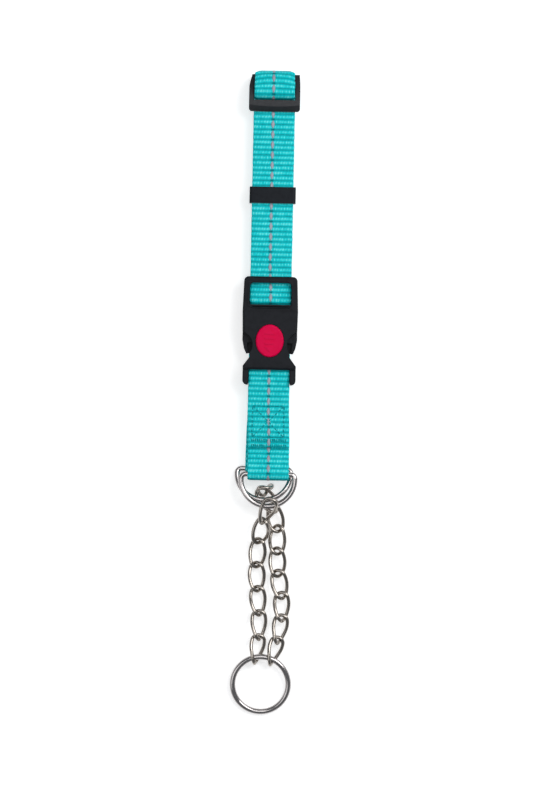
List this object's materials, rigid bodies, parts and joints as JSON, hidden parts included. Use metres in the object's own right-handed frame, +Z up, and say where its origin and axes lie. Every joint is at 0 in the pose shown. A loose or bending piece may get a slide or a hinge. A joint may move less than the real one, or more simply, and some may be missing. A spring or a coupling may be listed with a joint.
{
  "type": "martingale collar",
  "caption": "Flat-folded webbing dog collar with a locking side-release buckle, a slider, a strap keeper and a twisted chain that runs through two D-rings to a leash ring.",
  "frame": {"origin": "on the resting surface, under the middle of the collar's back strap width, at mid length of the laid-out object", "axes": "+X across the strap, +Y along it towards the fold, +Z up from the surface"},
  "size_m": [0.0313, 0.3172, 0.0165],
  "materials": {
    "webbing": "ribbed woven",
    "thread": "twisted thread",
    "slider_plastic": "satin",
    "buckle_plastic": "fine grain",
    "button_plastic": "satin",
    "spring_steel": "drawn wire",
    "ring_steel": "nickel plate",
    "chain_steel": "nickel plate"
  },
  "bodies": {
    "collar": {"adjustable_strap": "webbing", "tab_strap": "webbing", "tab_stitching": "thread", "tab_row_stitching": "thread", "ring_stitching": "thread", "slider_stitching": "thread", "tri_glide": "slider_plastic", "buckle_prong_frame": "buckle_plastic", "buckle_socket": "buckle_plastic", "button_spring": "spring_steel"},
    "strap_keeper": {"strap_keeper": "slider_plastic"},
    "prong_left": {"prong_left": "buckle_plastic"},
    "prong_right": {"prong_right": "buckle_plastic"},
    "lock_button": {"lock_button": "button_plastic"},
    "d_ring_front": {"d_ring_front": "ring_steel"},
    "d_ring_back": {"d_ring_back": "ring_steel"},
    "leash_ring": {"leash_ring": "ring_steel"},
    "link_top_left": {"link_top_left": "chain_steel"},
    "link_top_right": {"link_top_right": "chain_steel"},
    "link_left_1": {"link_left_1": "chain_steel"},
    "link_left_2": {"link_left_2": "chain_steel"},
    "link_left_3": {"link_left_3": "chain_steel"},
    "link_left_4": {"link_left_4": "chain_steel"},
    "link_left_5": {"link_left_5": "chain_steel"},
    "link_left_6": {"link_left_6": "chain_steel"},
    "link_left_7": {"link_left_7": "chain_steel"},
    "link_right_1": {"link_right_1": "chain_steel"},
    "link_right_2": {"link_right_2": "chain_steel"},
    "link_right_3": {"link_right_3": "chain_steel"},
    "link_right_4": {"link_right_4": "chain_steel"},
    "link_right_5": {"link_right_5": "chain_steel"},
    "link_right_6": {"link_right_6": "chain_steel"},
    "link_right_7": {"link_right_7": "chain_steel"}
  },
  "joints": [
    {"name": "lock_button_press", "type": "slide", "parent": "collar", "child": "lock_button", "axis": [0, 0, 1], "range_m": [-0.002, 0], "stiffness_N_per_m": 100, "springref_m": 0.001, "deforming": ["button_spring"]},
    {"name": "keeper_slide", "type": "slide", "parent": "collar", "child": "strap_keeper", "axis": [0, 1, 0], "range_m": [-0.03, 0.027]},
    {"name": "prong_left_squeeze", "type": "hinge", "parent": "collar", "child": "prong_left", "pos_m": [-0.0086, 0.041, 0.0078], "axis": [0, 0, 1], "range_deg": [0, 7], "stiffness_Nm_per_rad": 0.006},
    {"name": "prong_right_squeeze", "type": "hinge", "parent": "collar", "child": "prong_right", "pos_m": [0.0086, 0.041, 0.0078], "axis": [0, 0, -1], "range_deg": [0, 7], "stiffness_Nm_per_rad": 0.006},
    {"name": "d_ring_front_rock", "type": "hinge", "parent": "collar", "child": "d_ring_front", "pos_m": [0.0005, -0.0386, 0.0094], "axis": [-1, 0, 0], "range_deg": [-1, 2]},
    {"name": "d_ring_back_rock", "type": "hinge", "parent": "collar", "child": "d_ring_back", "pos_m": [-0.0015, -0.0361, 0.0031], "axis": [-1, 0, 0], "range_deg": [-3, 1]},
    {"name": "top_left_rock", "type": "hinge", "parent": "collar", "child": "link_top_left", "pos_m": [-0.0005, -0.046, 0.0085], "axis": [-1, 0, 0], "range_deg": [-2, 2]},
    {"name": "top_right_rock", "type": "hinge", "parent": "link_top_left", "child": "link_top_right", "pos_m": [0.0005, -0.0515, 0.0033], "axis": [-1, 0, 0], "range_deg": [-4, 4]},
    {"name": "left_1_curl", "type": "hinge", "parent": "link_top_left", "child": "link_left_1", "pos_m": [0.0005, -0.0536, 0.0083], "axis": [-1, 0, 0], "range_deg": [-2, 4]},
    {"name": "chain_curl", "type": "hinge", "parent": "link_left_1", "child": "link_left_2", "pos_m": [-0.0013, -0.0633, 0.0069], "axis": [-1, 0, 0], "range_deg": [-4, 8]},
    {"name": "left_3_curl", "type": "hinge", "parent": "link_left_2", "child": "link_left_3", "pos_m": [-0.0035, -0.0738, 0.0041], "axis": [-1, 0, 0], "range_deg": [-4, 8]},
    {"name": "left_4_curl", "type": "hinge", "parent": "link_left_3", "child": "link_left_4", "pos_m": [-0.0043, -0.0852, 0.003], "axis": [-1, 0, 0], "range_deg": [-4, 8]},
    {"name": "left_5_curl", "type": "hinge", "parent": "link_left_4", "child": "link_left_5", "pos_m": [-0.0038, -0.0967, 0.003], "axis": [-1, 0, 0], "range_deg": [-4, 8]},
    {"name": "left_6_curl", "type": "hinge", "parent": "link_left_5", "child": "link_left_6", "pos_m": [-0.0026, -0.1081, 0.0036], "axis": [-1, 0, 0], "range_deg": [-4, 8]},
    {"name": "left_7_curl", "type": "hinge", "parent": "link_left_6", "child": "link_left_7", "pos_m": [-0.0024, -0.1196, 0.0042], "axis": [-1, 0, 0], "range_deg": [-4, 8]},
    {"name": "right_1_curl", "type": "hinge", "parent": "link_top_left", "child": "link_right_1", "pos_m": [0.0045, -0.0536, 0.0083], "axis": [-1, 0, 0], "range_deg": [-2, 4]},
    {"name": "right_2_curl", "type": "hinge", "parent": "link_right_1", "child": "link_right_2", "pos_m": [0.0058, -0.0633, 0.0069], "axis": [-1, 0, 0], "range_deg": [-4, 8]},
    {"name": "right_3_curl", "type": "hinge", "parent": "link_right_2", "child": "link_right_3", "pos_m": [0.0058, -0.0738, 0.0041], "axis": [-1, 0, 0], "range_deg": [-4, 8]},
    {"name": "right_4_curl", "type": "hinge", "parent": "link_right_3", "child": "link_right_4", "pos_m": [0.0063, -0.0852, 0.003], "axis": [-1, 0, 0], "range_deg": [-4, 8]},
    {"name": "right_5_curl", "type": "hinge", "parent": "link_right_4", "child": "link_right_5", "pos_m": [0.0086, -0.0967, 0.003], "axis": [-1, 0, 0], "range_deg": [-4, 8]},
    {"name": "right_6_curl", "type": "hinge", "parent": "link_right_5", "child": "link_right_6", "pos_m": [0.0087, -0.1081, 0.0036], "axis": [-1, 0, 0], "range_deg": [-4, 8]},
    {"name": "right_7_curl", "type": "hinge", "parent": "link_right_6", "child": "link_right_7", "pos_m": [0.0068, -0.1196, 0.0042], "axis": [-1, 0, 0], "range_deg": [-4, 8]},
    {"name": "leash_ring_swing", "type": "hinge", "parent": "link_left_7", "child": "leash_ring", "pos_m": [-0.0004, -0.131, 0.0044], "axis": [-1, 0, 0], "range_deg": [-5, 10]}
  ],
  "couplings": [
    {"joint": "left_1_curl", "follows": "chain_curl", "ratio": 0.5},
    {"joint": "left_3_curl", "follows": "chain_curl", "ratio": 1},
    {"joint": "left_4_curl", "follows": "chain_curl", "ratio": 1},
    {"joint": "left_5_curl", "follows": "chain_curl", "ratio": 1},
    {"joint": "left_6_curl", "follows": "chain_curl", "ratio": 1},
    {"joint": "left_7_curl", "follows": "chain_curl", "ratio": 1},
    {"joint": "right_1_curl", "follows": "chain_curl", "ratio": 0.5},
    {"joint": "right_2_curl", "follows": "chain_curl", "ratio": 1},
    {"joint": "right_3_curl", "follows": "chain_curl", "ratio": 1},
    {"joint": "right_4_curl", "follows": "chain_curl", "ratio": 1},
    {"joint": "right_5_curl", "follows": "chain_curl", "ratio": 1},
    {"joint": "right_6_curl", "follows": "chain_curl", "ratio": 1},
    {"joint": "right_7_curl", "follows": "chain_curl", "ratio": 1}
  ]
}
